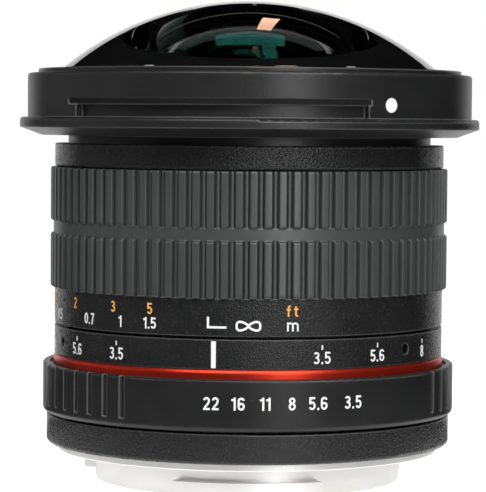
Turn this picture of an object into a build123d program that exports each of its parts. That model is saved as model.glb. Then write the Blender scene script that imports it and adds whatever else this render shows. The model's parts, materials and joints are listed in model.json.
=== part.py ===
from build123d import *
import os
from math import asin, cos, degrees, radians, sin, sqrt

# Manual fisheye lens, millimetres, standing on its rear bayonet with the front glass up.
# The lens axis is Z, Z = 0 is the rear rim of the bayonet, and the index line faces -Y.
# Angles called turns are measured from the front (-Y) toward +X, as the rings turn.

# General clearances
overrun = 1.0
seat_clearance = 0.05
running_clearance = 0.1
turning_gap = 0.15

# Heights of the outside, from the rear rim upward
bayonet_reach = 4.8
mount_plate_thickness = 1.2
base_ring_height = 4.7
aperture_ring_gap = 0.3
aperture_ring_height = 8.1
red_ring_sink = 0.4
red_ring_height = 1.75
index_band_height = 4.65
focus_gap = 0.4
scale_band_height = 5.85
grip_height = 19.4
upper_band_height = 3.7
neck_height = 1.3
collar_cone_height = 1.3
collar_flange_thickness = 1.6
collar_wall_height = 7.1
lip_stand = 0.7

# The rear barrel's radius carries every other one: they are set from it by walls and steps
rear_tube_radius = 29.9
rear_tube_wall = 1.6
aperture_ring_wall = 3.6
base_ring_step = 0.65
mount_plate_step = 1.95
red_ring_width = 2.0
red_ring_top_drop = 0.1
red_ring_crown = 0.5
red_groove_width = 0.55
index_band_wall = 1.85
barrel_step = 0.3
scale_band_wall = 2.15
grip_seat_wall = 1.4
grip_thickness = 1.42
collar_overhang = 7.9
collar_flange_reach = 1.26
collar_cone_share = 0.557
lip_land = 1.74
lip_width = 4.0

# Roundings of the outside
base_edge_round = 0.6
aperture_shoulder_round = 0.35
aperture_foot_round = 0.9
upper_edge_round = 0.3
edge_break = 0.15
collar_top_round = 0.5
flange_round = 0.6

# Rear bayonet
bayonet_tube_step = 6.1
bayonet_wall = 1.4
lug_reach = 2.0
lug_thickness = 1.4
lug_rise = 1.0
lug_count = 3
lug_arc = 52.0
lock_slot_radius = 1.3
lock_slot_depth = 0.9
lock_slot_turn = 145.0

# Screws, by shank and head radius and head height
mount_screw_shank = 0.8
mount_screw_head = 1.4
mount_screw_head_height = 0.7
mount_screw_reach = 4.4
mount_screw_inset = 2.4
mount_screw_count = 4
mount_screw_turn = 45.0
screw_shank = 0.6
screw_head = 1.0
screw_head_height = 0.6
inner_screw_count = 3
barrel_screw_turn = 30.0
iris_screw_turn = 0.0
front_screw_turn = 60.0
slot_width = 0.4
slot_depth = 0.3
grub_radius = 0.8
grub_turns = (51.0, 171.0, 291.0)
grub_height_share = 0.52
grub_recess = 0.25

# Rear light baffle
baffle_plate = 1.2
baffle_rise = 0.9
baffle_skirt = 1.2
baffle_skirt_height = 3.6
baffle_window_width = 31.0
baffle_window_height = 21.0
baffle_window_round = 2.0

# Fixed barrels
base_bore_gap = 0.7
base_floor = 2.2
base_wall_gap = 0.64
rear_flange = 1.8
rear_flange_reach = 0.32
rear_top_flange = 1.45
inner_flange_width = 3.3
main_tube_wall = 1.7
main_top_drop = 0.3
main_foot = 1.6
main_ledge = 1.2
spigot_wall = 1.45
spigot_depth = 4.4

# Aperture ring
aperture_travel = 38.3
knurl_count = 45
knurl_start = 60.5
knurl_span = 264.2
knurl_radius = 0.5
knurl_depth = 0.4
knurl_foot = 1.5
click_turns = (0.0, 7.05, 14.1, 21.15, 28.2, 38.3)
click_ball_radius = 0.8
click_notch_radius = 0.5
click_height = 4.0
click_spring_thickness = 0.25
click_spring_height = 3.0
click_spring_span = 40.0

# Aperture link, which carries the ring's turn up to the iris
link_turn = 180.0
link_thickness = 1.95
link_height = 3.0
link_rise = 2.5
link_span = 24.0
link_foot_height = 1.5
link_arm_inset = 6.8
link_arm_thickness = 1.8
link_arm_span = 8.0
link_screw_shank = 0.8
link_screw_head = 1.5
link_screw_head_height = 1.1
link_screw_sink = 0.3
link_slot_clearance = 0.25

# Iris
blade_count = 6
blade_pivot_circle = 9.2
blade_inner_radius = 4.6
blade_outer_radius = 8.3
blade_sweep = 96.0
blade_pin_turn = 16.0
blade_swing = 25.0
blade_pin_radius = 0.35
blade_tab_radius = 0.75
blade_stub_offset = 0.74
blade_thickness = 0.12
blade_pitch = 0.25
blade_pin_reach = 0.75
iris_opening = 5.0
iris_plate = 1.2
iris_cavity_radius = 11.2
iris_rim_wall = 1.4
iris_rim_height = 2.6
drive_ring_thickness = 0.75
drive_ring_inner = 5.4
drive_ring_outer = 11.0
drive_tab_span = 14.0
drive_tab_overhang = 1.2
housing_notch_margin = 1.0
iris_cover_thickness = 0.6
iris_cell_gap = 1.3

# Focus ring and its cam
focus_near_turn = 112.0
focus_far_turn = 11.0
focus_lift = 1.5
cam_groove_depth = 0.85
follower_radius = 1.0
follower_reach = 0.8
follower_turns = (90.0, 270.0)
follower_rise = 2.55
focus_ring_top_drop = 0.15
stop_pin_radius = 0.9
stop_pin_turn = 180.0
stop_pin_rise = 2.95

# Rubber grip: two bands of raised bars with a plain band between them
rib_count = 91
rib_width = 1.4
rib_floor_wall = 0.85
plain_band_wall = 1.05
plain_band_height = 1.5
grip_edge = 0.35

# Focusing cell
cell_sleeve_wall = 1.6
cell_sleeve_height = 10.0
cell_sleeve_rise = 0.9
cell_web = 2.0
cell_web_rise = 7.5
cell_tube_wall = 2.0
cell_tube_foot = 6.5
cell_tube_length = 28.7
window_margin = 2.0
window_gap = 0.3

# Front collar
collar_floor = 1.65
collar_wall = 3.04
collar_ledge_width = 5.0
collar_ledge_thickness = 1.43
lip_groove_depth = 0.95
hood_slot_turn = -8.9
hood_slot_span = 77.75
hood_slot_height = 2.0
hood_slot_depth = 1.3
hood_bevel_turn = -10.05
hood_bevel_span = 81.7
hood_bevel_height = 3.0
hood_bevel_depth = 0.35
hood_slot_count = 2
hood_dot_turn = 36.6
hood_dot_radius = 1.1
hood_dot_rise = 2.1
hood_dot_depth = 0.4

# Index line inlay
index_turn = -9.5
index_line_width = 0.7
index_line_height = 4.1
index_line_depth = 0.2

# Glass: each surface is (height of its vertex above its cell's foot, radius), with the radius
# positive where the surface is convex toward the front and negative where it is hollow
glass_clearance = 0.02
dome_curve_share = 1.5607
front_glass_ledge = 0.5
front_glass_step = 0.74
front_glass_stand = 0.24
front_glass_thickness = 4.0
front_glass_rim_width = 14.0
front_glass_hollow_margin = 2.0
second_glass_step = 0.5
second_glass_rise = 20.9
second_glass_curve = 40.0
second_glass_thickness = 1.8
second_glass_rim_width = 5.0
second_glass_hollow_margin = 1.5
front_doublet_radius = 9.0
front_doublet_rises = ((8.7, 16.0), (3.6, -30.0), (2.0, -22.0))
rear_glass_radius = 12.0
fifth_rises = ((27.5, 40.0), (23.0, -45.0))
middle_doublet_rises = ((21.4, -60.0), (19.8, 35.0), (13.7, -28.0))
rear_doublet_rises = ((13.1, 30.0), (7.1, -26.0), (5.5, -90.0))
tenth_rises = ((4.9, 50.0), (1.9, -120.0))
spacer_width = 1.2
retainer_height = 1.2
front_ring_width = 1.0

# Front cell
front_cell_wall = 1.9
front_cell_flange = 1.6
front_cell_bore_gap = 1.8

# Heights worked out from the sizes above
seat_z = bayonet_reach
base_z = seat_z + mount_plate_thickness
base_top = base_z + base_ring_height
aperture_z = base_top + aperture_ring_gap
aperture_top = aperture_z + aperture_ring_height
red_z = aperture_top - red_ring_sink
red_groove_z = red_z - turning_gap
index_z = red_z + red_ring_height
index_top = index_z + index_band_height
focus_z = index_top + focus_gap
grip_z = focus_z + scale_band_height
grip_top = grip_z + grip_height
upper_z = grip_top + turning_gap
upper_top = upper_z + upper_band_height
collar_z = upper_top + neck_height
flange_z = collar_z + collar_cone_height
flange_top = flange_z + collar_flange_thickness
collar_top = flange_top + collar_wall_height
lip_top = collar_top + lip_stand

# Radii of the fixed barrels, worked out from the rear barrel's
rear_tube_inner = rear_tube_radius - rear_tube_wall
rear_flange_radius = rear_tube_radius + rear_flange_reach
base_wall_radius = rear_tube_radius + base_wall_gap
main_tube_radius = rear_tube_radius - barrel_step
main_inner = main_tube_radius - main_tube_wall
inner_flange_radius = main_inner - inner_flange_width
neck_radius = main_tube_radius
upper_band_radius = main_tube_radius + scale_band_wall
index_band_radius = rear_tube_radius + index_band_wall
red_ring_radius = rear_tube_radius + red_ring_width
red_ring_top_radius = index_band_radius - red_ring_top_drop
red_groove_radius = red_ring_radius + red_groove_width

# Radii of the turning rings
aperture_bore = rear_tube_radius + running_clearance
aperture_ring_radius = aperture_bore + aperture_ring_wall
focus_bore = main_tube_radius + turning_gap
scale_band_radius = main_tube_radius + scale_band_wall
cam_groove_radius = focus_bore + cam_groove_depth
follower_tip_radius = main_tube_radius + follower_reach
grip_seat_radius = main_tube_radius + grip_seat_wall
grip_radius = grip_seat_radius + grip_thickness
rib_floor_radius = grip_seat_radius + rib_floor_wall
plain_band_radius = grip_seat_radius + plain_band_wall
link_arm_radius = rear_tube_inner - link_arm_inset
drive_tab_reach = link_arm_radius + link_arm_thickness + drive_tab_overhang

# Radii of the base and the bayonet
base_ring_radius = aperture_ring_radius - base_ring_step
mount_plate_radius = base_ring_radius - mount_plate_step
mount_screw_circle = mount_plate_radius - mount_screw_inset
bayonet_tube_radius = mount_plate_radius - bayonet_tube_step
base_bore_radius = bayonet_tube_radius - base_bore_gap

# Radii of the collar and its glass
collar_flange_radius = neck_radius + collar_overhang
collar_radius = collar_flange_radius - collar_flange_reach
collar_cone_radius = neck_radius + collar_cone_share * (collar_flange_radius - neck_radius)
collar_inner_radius = collar_radius - collar_wall
lip_radius = collar_radius - lip_land
dome_rim_radius = lip_radius - lip_width
front_glass_radius = dome_rim_radius + front_glass_ledge
collar_ledge_radius = front_glass_radius - collar_ledge_width
dome_radius = dome_rim_radius * dome_curve_share
front_glass_mouth = front_glass_radius - front_glass_rim_width
front_glass_hollow = front_glass_mouth + front_glass_hollow_margin
second_glass_radius = front_glass_mouth - second_glass_step
second_glass_mouth = second_glass_radius - second_glass_rim_width
second_glass_hollow = second_glass_mouth + second_glass_hollow_margin

# Heights of the barrels
rear_z = base_z + base_floor
main_z = index_z
main_top = upper_top - main_top_drop


def sag(radius, reach):
    """Depth of a sphere of this radius at this distance from its vertex's axis, signed like the radius."""
    depth = abs(radius) - sqrt(radius**2 - reach**2)
    return depth if radius > 0 else -depth


def surface_height(surface, reach):
    """Height of a (vertex height, radius) glass surface at a distance from the axis."""
    height, radius = surface
    return height - sag(radius, reach)


def raised(surfaces, foot):
    """Glass surfaces lifted from rises above a cell's foot to heights above the rear rim."""
    return [(foot + rise, radius) for rise, radius in surfaces]


# Dome heights
front_glass_edge_z = lip_top + front_glass_stand
dome_top = front_glass_edge_z + sag(dome_radius, dome_rim_radius)
front_hollow_top = dome_top - front_glass_thickness
front_glass_seat_z = front_hollow_top - sag(front_glass_hollow, front_glass_mouth)
front_step_z = front_glass_edge_z - front_glass_step

# Iris heights, counted up from the focusing cell at its nearest focus
cell_tube_top = cell_tube_foot + cell_tube_length
iris_rim_z = cell_tube_top + focus_lift + iris_cell_gap + iris_cover_thickness
iris_plate_z = iris_rim_z + iris_rim_height
iris_top = iris_plate_z + iris_plate
blade_top = iris_plate_z - seat_clearance
drive_ring_z = iris_rim_z + turning_gap
drive_ring_top = drive_ring_z + drive_ring_thickness
front_cell_z = iris_top + main_ledge

# Glass surfaces in their cells
front_doublet_surfaces = raised(front_doublet_rises, front_cell_z)
fifth_surfaces = raised(fifth_rises, cell_tube_foot)
middle_doublet_surfaces = raised(middle_doublet_rises, cell_tube_foot)
rear_doublet_surfaces = raised(rear_doublet_rises, cell_tube_foot)
tenth_surfaces = raised(tenth_rises, cell_tube_foot)
second_front = (front_cell_z + second_glass_rise, second_glass_curve)
second_hollow = (second_front[0] - second_glass_thickness, second_glass_hollow)
second_glass_seat_z = surface_height(second_hollow, second_glass_mouth)

# Heights of the aperture ring's click and link
click_z = aperture_z + click_height
link_z = rear_z + rear_flange + link_rise
link_screw_z = link_z + link_height / 2
link_screw_seat = aperture_ring_radius - knurl_depth - link_screw_sink - link_screw_head_height

# Index band
red_ring_seat = (rear_tube_radius + red_ring_radius) / 2
index_line_z = index_z + (index_band_height - index_line_height) / 2
index_line_span = degrees(index_line_width / index_band_radius)

# Ring over the second element
second_ring_inner = second_glass_radius - front_ring_width
second_ring_z = surface_height(second_front, second_ring_inner) + glass_clearance
second_ring_top = second_ring_z + retainer_height

# Focusing heights
cell_sleeve_z = focus_z + cell_sleeve_rise
follower_z = grip_z + follower_rise
stop_pin_z = focus_z + stop_pin_rise
lift_per_degree = focus_lift / focus_near_turn
rib_pitch = radians(360 / rib_count) * grip_radius


def around(turn, radius=0.0, height=0.0):
    """Point at a turn from the front, a radius from the axis and a height."""
    return Vector(radius * sin(radians(turn)), -radius * cos(radians(turn)), height)


def radial_plane(turn, height, radius=0.0):
    """Plane whose normal points outward at a turn, with Z up on it."""
    outward = around(turn, 1)
    sideways = around(turn + 90, 1)
    return Plane(origin=around(turn, radius, height), x_dir=sideways, z_dir=outward)


def section_plane(turn):
    """Plane through the axis: its X is the radius at a turn, and its Y is the height."""
    return Plane(origin=(0, 0, 0), x_dir=around(turn, 1), z_dir=around(turn - 90, 1))


def turned(*corners, start=90.0, span=360.0, mode=Mode.ADD):
    """Turns an outline of (radius, height) or (radius, height, rounding) corners about the axis."""
    points = [corner[:2] for corner in corners]
    roundings = [corner[2] if len(corner) > 2 else 0 for corner in corners]
    with BuildSketch(section_plane(start)) as outline:
        with BuildLine():
            if any(roundings):
                FilletPolyline(*points, radius=roundings, close=True)
            else:
                Polyline(*points, close=True)
        make_face()
    revolve(outline.sketch, axis=Axis.Z, revolution_arc=span, mode=mode)


def band(inner, outer, low, high, start=90.0, span=360.0, mode=Mode.ADD):
    """Plain ring, or a sector of one, between two radii and two heights."""
    turned((inner, low), (outer, low), (outer, high), (inner, high), start=start, span=span, mode=mode)


def upright(radius, low, high, places, mode=Mode.ADD):
    """Upright round bars or holes at (x, y) places."""
    with BuildSketch(Plane.XY.offset(low)) as rounds:
        with Locations(*places):
            Circle(radius)
    extrude(rounds.sketch, amount=high - low, mode=mode)


def radial_bar(turn, height, radius, inner, outer, mode=Mode.ADD):
    """Round bar or hole that lies along a radius, from one distance from the axis to another."""
    with BuildSketch(radial_plane(turn, height, inner)) as rounds:
        Circle(radius)
    extrude(rounds.sketch, amount=outer - inner, mode=mode)


def ring_places(radius, count, first_turn):
    """The (x, y) places of a round pattern, counted from the front."""
    points = [around(first_turn + 360 * step / count, radius) for step in range(count)]
    return [(point.X, point.Y) for point in points]


# Places of the screws
ledge_inner = inner_flange_radius + running_clearance
ledge_screw_circle = (ledge_inner + main_inner) / 2
barrel_screw_circle = (inner_flange_radius + main_inner) / 2
mount_screw_places = ring_places(mount_screw_circle, mount_screw_count, mount_screw_turn)
barrel_screw_places = ring_places(barrel_screw_circle, inner_screw_count, barrel_screw_turn)
iris_screw_places = ring_places(ledge_screw_circle, inner_screw_count, iris_screw_turn)
front_screw_places = ring_places(ledge_screw_circle, inner_screw_count, front_screw_turn)


def finish(piece, label):
    """Labels a finished piece and writes its file."""
    piece.part.label = label
    export_step(piece.part, f"parts/{label}.step")


def screws(label, places, shank, head, head_low, head_high, tip):
    """Slotted screws that stand upright: the head's open face is the end away from the tip."""
    face = head_low if tip > head_high else head_high
    inward = slot_depth if face == head_low else -slot_depth
    with BuildPart() as piece:
        upright(head, head_low, head_high, places)
        upright(shank, min(head_high, tip), max(head_low, tip), places)
        with BuildSketch(Plane.XY.offset(min(face, face + inward))) as slots:
            with Locations(*places):
                Rectangle(2 * head + overrun, slot_width)
        extrude(slots.sketch, amount=abs(inward), mode=Mode.SUBTRACT)
    finish(piece, label)


# Glass

def glass(label, radius, front, rear):
    """Element between two spherical surfaces, each (vertex height, signed radius)."""
    with BuildPart() as piece:
        with BuildSketch(section_plane(0)) as outline:
            with BuildLine():
                half = radius / 2
                front_edge = (radius, surface_height(front, radius))
                rear_edge = (radius, surface_height(rear, radius))
                ThreePointArc((0, front[0]), (half, surface_height(front, half)), front_edge)
                Line(front_edge, rear_edge)
                ThreePointArc(rear_edge, (half, surface_height(rear, half)), (0, rear[0]))
                Line((0, rear[0]), (0, front[0]))
            make_face()
        revolve(outline.sketch, axis=Axis.Z)
    finish(piece, label)


def cemented(labels, radius, surfaces):
    """Elements stacked face to face, front to rear."""
    for label, front, rear in zip(labels, surfaces, surfaces[1:]):
        glass(label, radius, front, rear)


def front_element():
    """Large front meniscus: the dome, a ground step that the lip ring holds, and a deep hollow."""
    dome = (dome_top, dome_radius)
    hollow = (front_hollow_top, front_glass_hollow)
    half = dome_rim_radius / 2
    half_mouth = front_glass_mouth / 2
    rim = (dome_rim_radius, front_glass_edge_z)
    mouth = (front_glass_mouth, front_glass_seat_z)
    with BuildPart() as piece:
        with BuildSketch(section_plane(0)) as outline:
            with BuildLine():
                ThreePointArc((0, dome_top), (half, surface_height(dome, half)), rim)
                Polyline(
                    rim,
                    (dome_rim_radius, front_step_z),
                    (front_glass_radius, front_step_z),
                    (front_glass_radius, front_glass_seat_z),
                    mouth,
                )
                ThreePointArc(mouth, (half_mouth, surface_height(hollow, half_mouth)), (0, front_hollow_top))
                Line((0, front_hollow_top), (0, dome_top))
            make_face()
        revolve(outline.sketch, axis=Axis.Z)
    finish(piece, "front_element")


def second_element():
    """Negative meniscus under the front element, with a flat rear rim that its cell carries."""
    front = second_front
    hollow = second_hollow
    edge = (second_glass_radius, surface_height(front, second_glass_radius))
    mouth = (second_glass_mouth, second_glass_seat_z)
    half = second_glass_radius / 2
    half_mouth = second_glass_mouth / 2
    with BuildPart() as piece:
        with BuildSketch(section_plane(0)) as outline:
            with BuildLine():
                ThreePointArc((0, front[0]), (half, surface_height(front, half)), edge)
                Polyline(edge, (second_glass_radius, second_glass_seat_z), mouth)
                ThreePointArc(mouth, (half_mouth, surface_height(hollow, half_mouth)), (0, hollow[0]))
                Line((0, hollow[0]), (0, front[0]))
            make_face()
        revolve(outline.sketch, axis=Axis.Z)
    finish(piece, "second_element")


# Rear bayonet and base

def mount_plate():
    """Bright rear bayonet: flange with its seating face, tube, lugs, screw recesses and lock slot."""
    tube_inner = bayonet_tube_radius - bayonet_wall
    lug_radius = bayonet_tube_radius + lug_reach
    with BuildPart() as piece:
        turned(
            (tube_inner, 0), (bayonet_tube_radius, 0, edge_break), (bayonet_tube_radius, seat_z),
            (mount_plate_radius, seat_z, edge_break), (mount_plate_radius, base_z), (tube_inner, base_z),
        )
        for lug in range(lug_count):
            band(
                bayonet_tube_radius - seat_clearance, lug_radius, lug_rise, lug_rise + lug_thickness,
                start=lug * 360 / lug_count - lug_arc / 2, span=lug_arc,
            )
        upright(mount_screw_head + seat_clearance, seat_z - overrun,
                seat_z + mount_screw_head_height, mount_screw_places, Mode.SUBTRACT)
        upright(mount_screw_shank + seat_clearance, seat_z, base_z + overrun,
                mount_screw_places, Mode.SUBTRACT)
        lock_place = ring_places(mount_screw_circle, 1, lock_slot_turn)
        upright(lock_slot_radius, seat_z - overrun, seat_z + lock_slot_depth, lock_place, Mode.SUBTRACT)
    finish(piece, "mount_plate")


def mount_screws():
    """Four screws through the mount plate and the base ring into the rear barrel."""
    screws(
        "mount_screws", mount_screw_places, mount_screw_shank, mount_screw_head,
        seat_z, seat_z + mount_screw_head_height, seat_z + mount_screw_reach,
    )


def rear_baffle():
    """Black light baffle in the bayonet tube, with a picture-shaped window."""
    outer = bayonet_tube_radius - bayonet_wall - seat_clearance
    with BuildPart() as piece:
        turned(
            (0, baffle_rise), (outer, baffle_rise), (outer, baffle_rise + baffle_skirt_height),
            (outer - baffle_skirt, baffle_rise + baffle_skirt_height),
            (outer - baffle_skirt, baffle_rise + baffle_plate), (0, baffle_rise + baffle_plate),
        )
        with BuildSketch(Plane.XY.offset(baffle_rise - overrun)) as window:
            RectangleRounded(baffle_window_width, baffle_window_height, baffle_window_round)
        extrude(window.sketch, amount=baffle_plate + 2 * overrun, mode=Mode.SUBTRACT)
    finish(piece, "rear_baffle")


def base_ring():
    """Black base ring: a floor on the mount plate and a wall below the aperture ring."""
    with BuildPart() as piece:
        turned(
            (base_bore_radius, base_z), (base_ring_radius, base_z, base_edge_round),
            (base_ring_radius, base_top, edge_break), (base_wall_radius, base_top),
            (base_wall_radius, rear_z), (base_bore_radius, rear_z),
        )
        upright(mount_screw_shank + seat_clearance, base_z - overrun, rear_z + overrun,
                mount_screw_places, Mode.SUBTRACT)
    finish(piece, "base_ring")


def rear_barrel():
    """Fixed tube that the aperture ring turns on, with the link's arc slot and the click ball's hole."""
    flange_top_z = rear_z + rear_flange
    top = index_z
    slot_side = degrees(asin((link_screw_shank + link_slot_clearance) / rear_tube_inner))
    slot_half = link_screw_shank + link_slot_clearance
    with BuildPart() as piece:
        turned(
            (base_bore_radius, rear_z), (rear_flange_radius, rear_z), (rear_flange_radius, flange_top_z),
            (rear_tube_radius, flange_top_z), (rear_tube_radius, top), (inner_flange_radius, top),
            (inner_flange_radius, top - rear_top_flange), (rear_tube_inner, top - rear_top_flange),
            (rear_tube_inner, flange_top_z), (base_bore_radius, flange_top_z),
        )
        band(
            rear_tube_inner - overrun, rear_tube_radius + overrun, link_screw_z - slot_half,
            link_screw_z + slot_half, start=link_turn - aperture_travel - slot_side,
            span=aperture_travel + 2 * slot_side, mode=Mode.SUBTRACT,
        )
        radial_bar(0, click_z, click_ball_radius + seat_clearance, rear_tube_inner - overrun,
                   rear_tube_radius + overrun, Mode.SUBTRACT)
        upright(mount_screw_shank + seat_clearance, rear_z - overrun,
                seat_z + mount_screw_reach + seat_clearance, mount_screw_places, Mode.SUBTRACT)
        upright(screw_shank + seat_clearance, top - rear_top_flange - overrun, top + overrun,
                barrel_screw_places, Mode.SUBTRACT)
    finish(piece, "rear_barrel")


# Aperture ring and its link

def aperture_ring():
    """Knurled ring with rounded edges, a groove for the red ring, click notches and a screw hole."""
    with BuildPart() as piece:
        turned(
            (aperture_bore, aperture_z), (aperture_ring_radius, aperture_z, aperture_foot_round),
            (aperture_ring_radius, aperture_top, aperture_shoulder_round),
            (red_groove_radius, aperture_top, edge_break), (red_groove_radius, red_groove_z),
            (aperture_bore, red_groove_z),
        )
        flute_circle = aperture_ring_radius + knurl_radius - knurl_depth
        flutes = [around(knurl_start + knurl_span * step / (knurl_count - 1), flute_circle)
                  for step in range(knurl_count)]
        upright(knurl_radius, aperture_z + knurl_foot, aperture_top + overrun,
                [(point.X, point.Y) for point in flutes], Mode.SUBTRACT)
        notches = [around(turn, aperture_bore) for turn in click_turns]
        upright(click_notch_radius, aperture_z - overrun, aperture_top + overrun,
                [(point.X, point.Y) for point in notches], Mode.SUBTRACT)
        radial_bar(link_turn, link_screw_z, link_screw_shank + seat_clearance,
                   aperture_bore - overrun, aperture_ring_radius, Mode.SUBTRACT)
        radial_bar(link_turn, link_screw_z, link_screw_head + seat_clearance,
                   link_screw_seat, aperture_ring_radius + overrun, Mode.SUBTRACT)
    finish(piece, "aperture_ring")


def link_bracket():
    """Bracket inside the rear barrel: a curved pad, a foot that runs inward and a tall arm."""
    pad_outer = rear_tube_inner - turning_gap
    pad_inner = pad_outer - link_thickness
    foot_start = link_turn - link_arm_span / 2
    with BuildPart() as piece:
        band(pad_inner, pad_outer, link_z, link_z + link_height,
             start=link_turn - link_span / 2, span=link_span)
        band(link_arm_radius, pad_inner + seat_clearance, link_z, link_z + link_foot_height,
             start=foot_start, span=link_arm_span)
        band(link_arm_radius, link_arm_radius + link_arm_thickness, link_z, drive_ring_top,
             start=foot_start, span=link_arm_span)
        radial_bar(link_turn, link_screw_z, link_screw_shank + seat_clearance,
                   pad_inner + seat_clearance, pad_outer + overrun, Mode.SUBTRACT)
    finish(piece, "link_bracket")


def link_screw():
    """Screw that ties the aperture ring to the bracket through the arc slot."""
    tip = rear_tube_inner - turning_gap - link_thickness + 2 * seat_clearance
    head_face = link_screw_seat + link_screw_head_height
    with BuildPart() as piece:
        radial_bar(link_turn, link_screw_z, link_screw_shank, tip, link_screw_seat)
        radial_bar(link_turn, link_screw_z, link_screw_head, link_screw_seat, head_face)
        with BuildSketch(radial_plane(link_turn, link_screw_z, head_face - slot_depth)) as slot:
            Rectangle(2 * link_screw_head + overrun, slot_width)
        extrude(slot.sketch, amount=slot_depth + overrun, mode=Mode.SUBTRACT)
    finish(piece, "link_screw")


def click_ball():
    """Steel ball of the aperture clicks, held just inside the ridges that pass over it."""
    place = around(0, rear_tube_radius + seat_clearance - click_ball_radius, click_z)
    with BuildPart() as piece:
        with Locations(place):
            Sphere(click_ball_radius)
    finish(piece, "click_ball")


def click_spring():
    """Curved leaf spring behind the click ball."""
    outer = rear_tube_inner - glass_clearance
    with BuildPart() as piece:
        band(outer - click_spring_thickness, outer, click_z - click_spring_height / 2,
             click_z + click_spring_height / 2, start=-click_spring_span / 2, span=click_spring_span)
    finish(piece, "click_spring")


# Index band

def index_ring():
    """Fixed black band with the index line's groove, the red ring's seat and grub screw holes."""
    inner = rear_tube_radius + seat_clearance
    seat_radius = red_ring_seat
    grub_z = index_z + index_band_height * grub_height_share
    with BuildPart() as piece:
        turned(
            (inner, red_z), (seat_radius, red_z), (seat_radius, index_z),
            (index_band_radius, index_z, edge_break), (index_band_radius, index_top, edge_break),
            (inner, index_top),
        )
        for turn in grub_turns:
            radial_bar(turn, grub_z, grub_radius + seat_clearance, inner - overrun,
                       index_band_radius + overrun, Mode.SUBTRACT)
        band(index_band_radius - index_line_depth, index_band_radius + overrun,
             index_line_z, index_line_z + index_line_height,
             start=index_turn - index_line_span / 2, span=index_line_span, mode=Mode.SUBTRACT)
    finish(piece, "index_ring")


def index_line():
    """White inlay that the scales are read against."""
    with BuildPart() as piece:
        band(index_band_radius - index_line_depth, index_band_radius, index_line_z,
             index_line_z + index_line_height, start=index_turn - index_line_span / 2, span=index_line_span)
    finish(piece, "index_line")


def red_ring():
    """Red trim ring below the index band, its foot sunk in the aperture ring's groove."""
    inner = red_ring_seat + seat_clearance
    with BuildPart() as piece:
        turned(
            (inner, red_z), (red_ring_radius, red_z, edge_break),
            (red_ring_radius, index_z - red_ring_crown, red_ring_crown),
            (red_ring_top_radius, index_z - glass_clearance), (inner, index_z - glass_clearance),
        )
    finish(piece, "red_ring")


def grub_screws():
    """Three grub screws that hold the index band, sunk below its surface."""
    grub_z = index_z + index_band_height * grub_height_share
    inner = rear_tube_radius + seat_clearance
    face = index_band_radius - grub_recess
    with BuildPart() as piece:
        for turn in grub_turns:
            radial_bar(turn, grub_z, grub_radius, inner, face)
            with BuildSketch(radial_plane(turn, grub_z, face - slot_depth)) as slot:
                Rectangle(2 * grub_radius + overrun, slot_width)
            extrude(slot.sketch, amount=slot_depth + overrun, mode=Mode.SUBTRACT)
    finish(piece, "grub_screws")


# Main barrel

def main_barrel():
    """Fixed tube under the focus ring: foot flange, guide slots, stop pin hole and iris ledge."""
    slot_low = follower_z - focus_far_turn * lift_per_degree - follower_radius - seat_clearance
    slot_high = follower_z + focus_lift + follower_radius + seat_clearance
    slot_half_width = follower_radius + seat_clearance
    with BuildPart() as piece:
        turned(
            (inner_flange_radius, main_z), (main_tube_radius, main_z), (main_tube_radius, main_top),
            (main_inner, main_top), (main_inner, front_cell_z), (ledge_inner, front_cell_z),
            (ledge_inner, iris_top), (main_inner, iris_top), (main_inner, main_z + main_foot),
            (inner_flange_radius, main_z + main_foot),
        )
        for turn in follower_turns:
            with BuildSketch(radial_plane(turn, (slot_low + slot_high) / 2, main_inner - overrun)) as slot:
                SlotOverall(slot_high - slot_low, 2 * slot_half_width, rotation=90)
            extrude(slot.sketch, amount=main_tube_wall + 2 * overrun, mode=Mode.SUBTRACT)
        radial_bar(stop_pin_turn, stop_pin_z, stop_pin_radius, main_inner - overrun,
                   main_tube_radius + overrun, Mode.SUBTRACT)
        upright(screw_shank + seat_clearance, main_z - overrun, main_z + main_foot + overrun,
                barrel_screw_places, Mode.SUBTRACT)
        upright(screw_shank + seat_clearance, iris_top - overrun, front_cell_z + overrun,
                iris_screw_places + front_screw_places, Mode.SUBTRACT)
    finish(piece, "main_barrel")


def barrel_screws():
    """Three screws that join the main barrel's foot to the rear barrel."""
    foot_top = main_z + main_foot
    screws("barrel_screws", barrel_screw_places, screw_shank, screw_head, foot_top,
           foot_top + screw_head_height, main_z - rear_top_flange)


def focus_stop_pin():
    """Pin on the main barrel that ends the focus ring's turn."""
    with BuildPart() as piece:
        radial_bar(stop_pin_turn, stop_pin_z, stop_pin_radius, main_inner, follower_tip_radius)
    finish(piece, "focus_stop_pin")


def upper_barrel():
    """Fixed black band above the grip."""
    with BuildPart() as piece:
        turned(
            (main_tube_radius + seat_clearance, upper_z), (upper_band_radius, upper_z, upper_edge_round),
            (upper_band_radius, upper_top, upper_edge_round), (main_tube_radius + seat_clearance, upper_top),
        )
    finish(piece, "upper_barrel")


# Front collar

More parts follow.
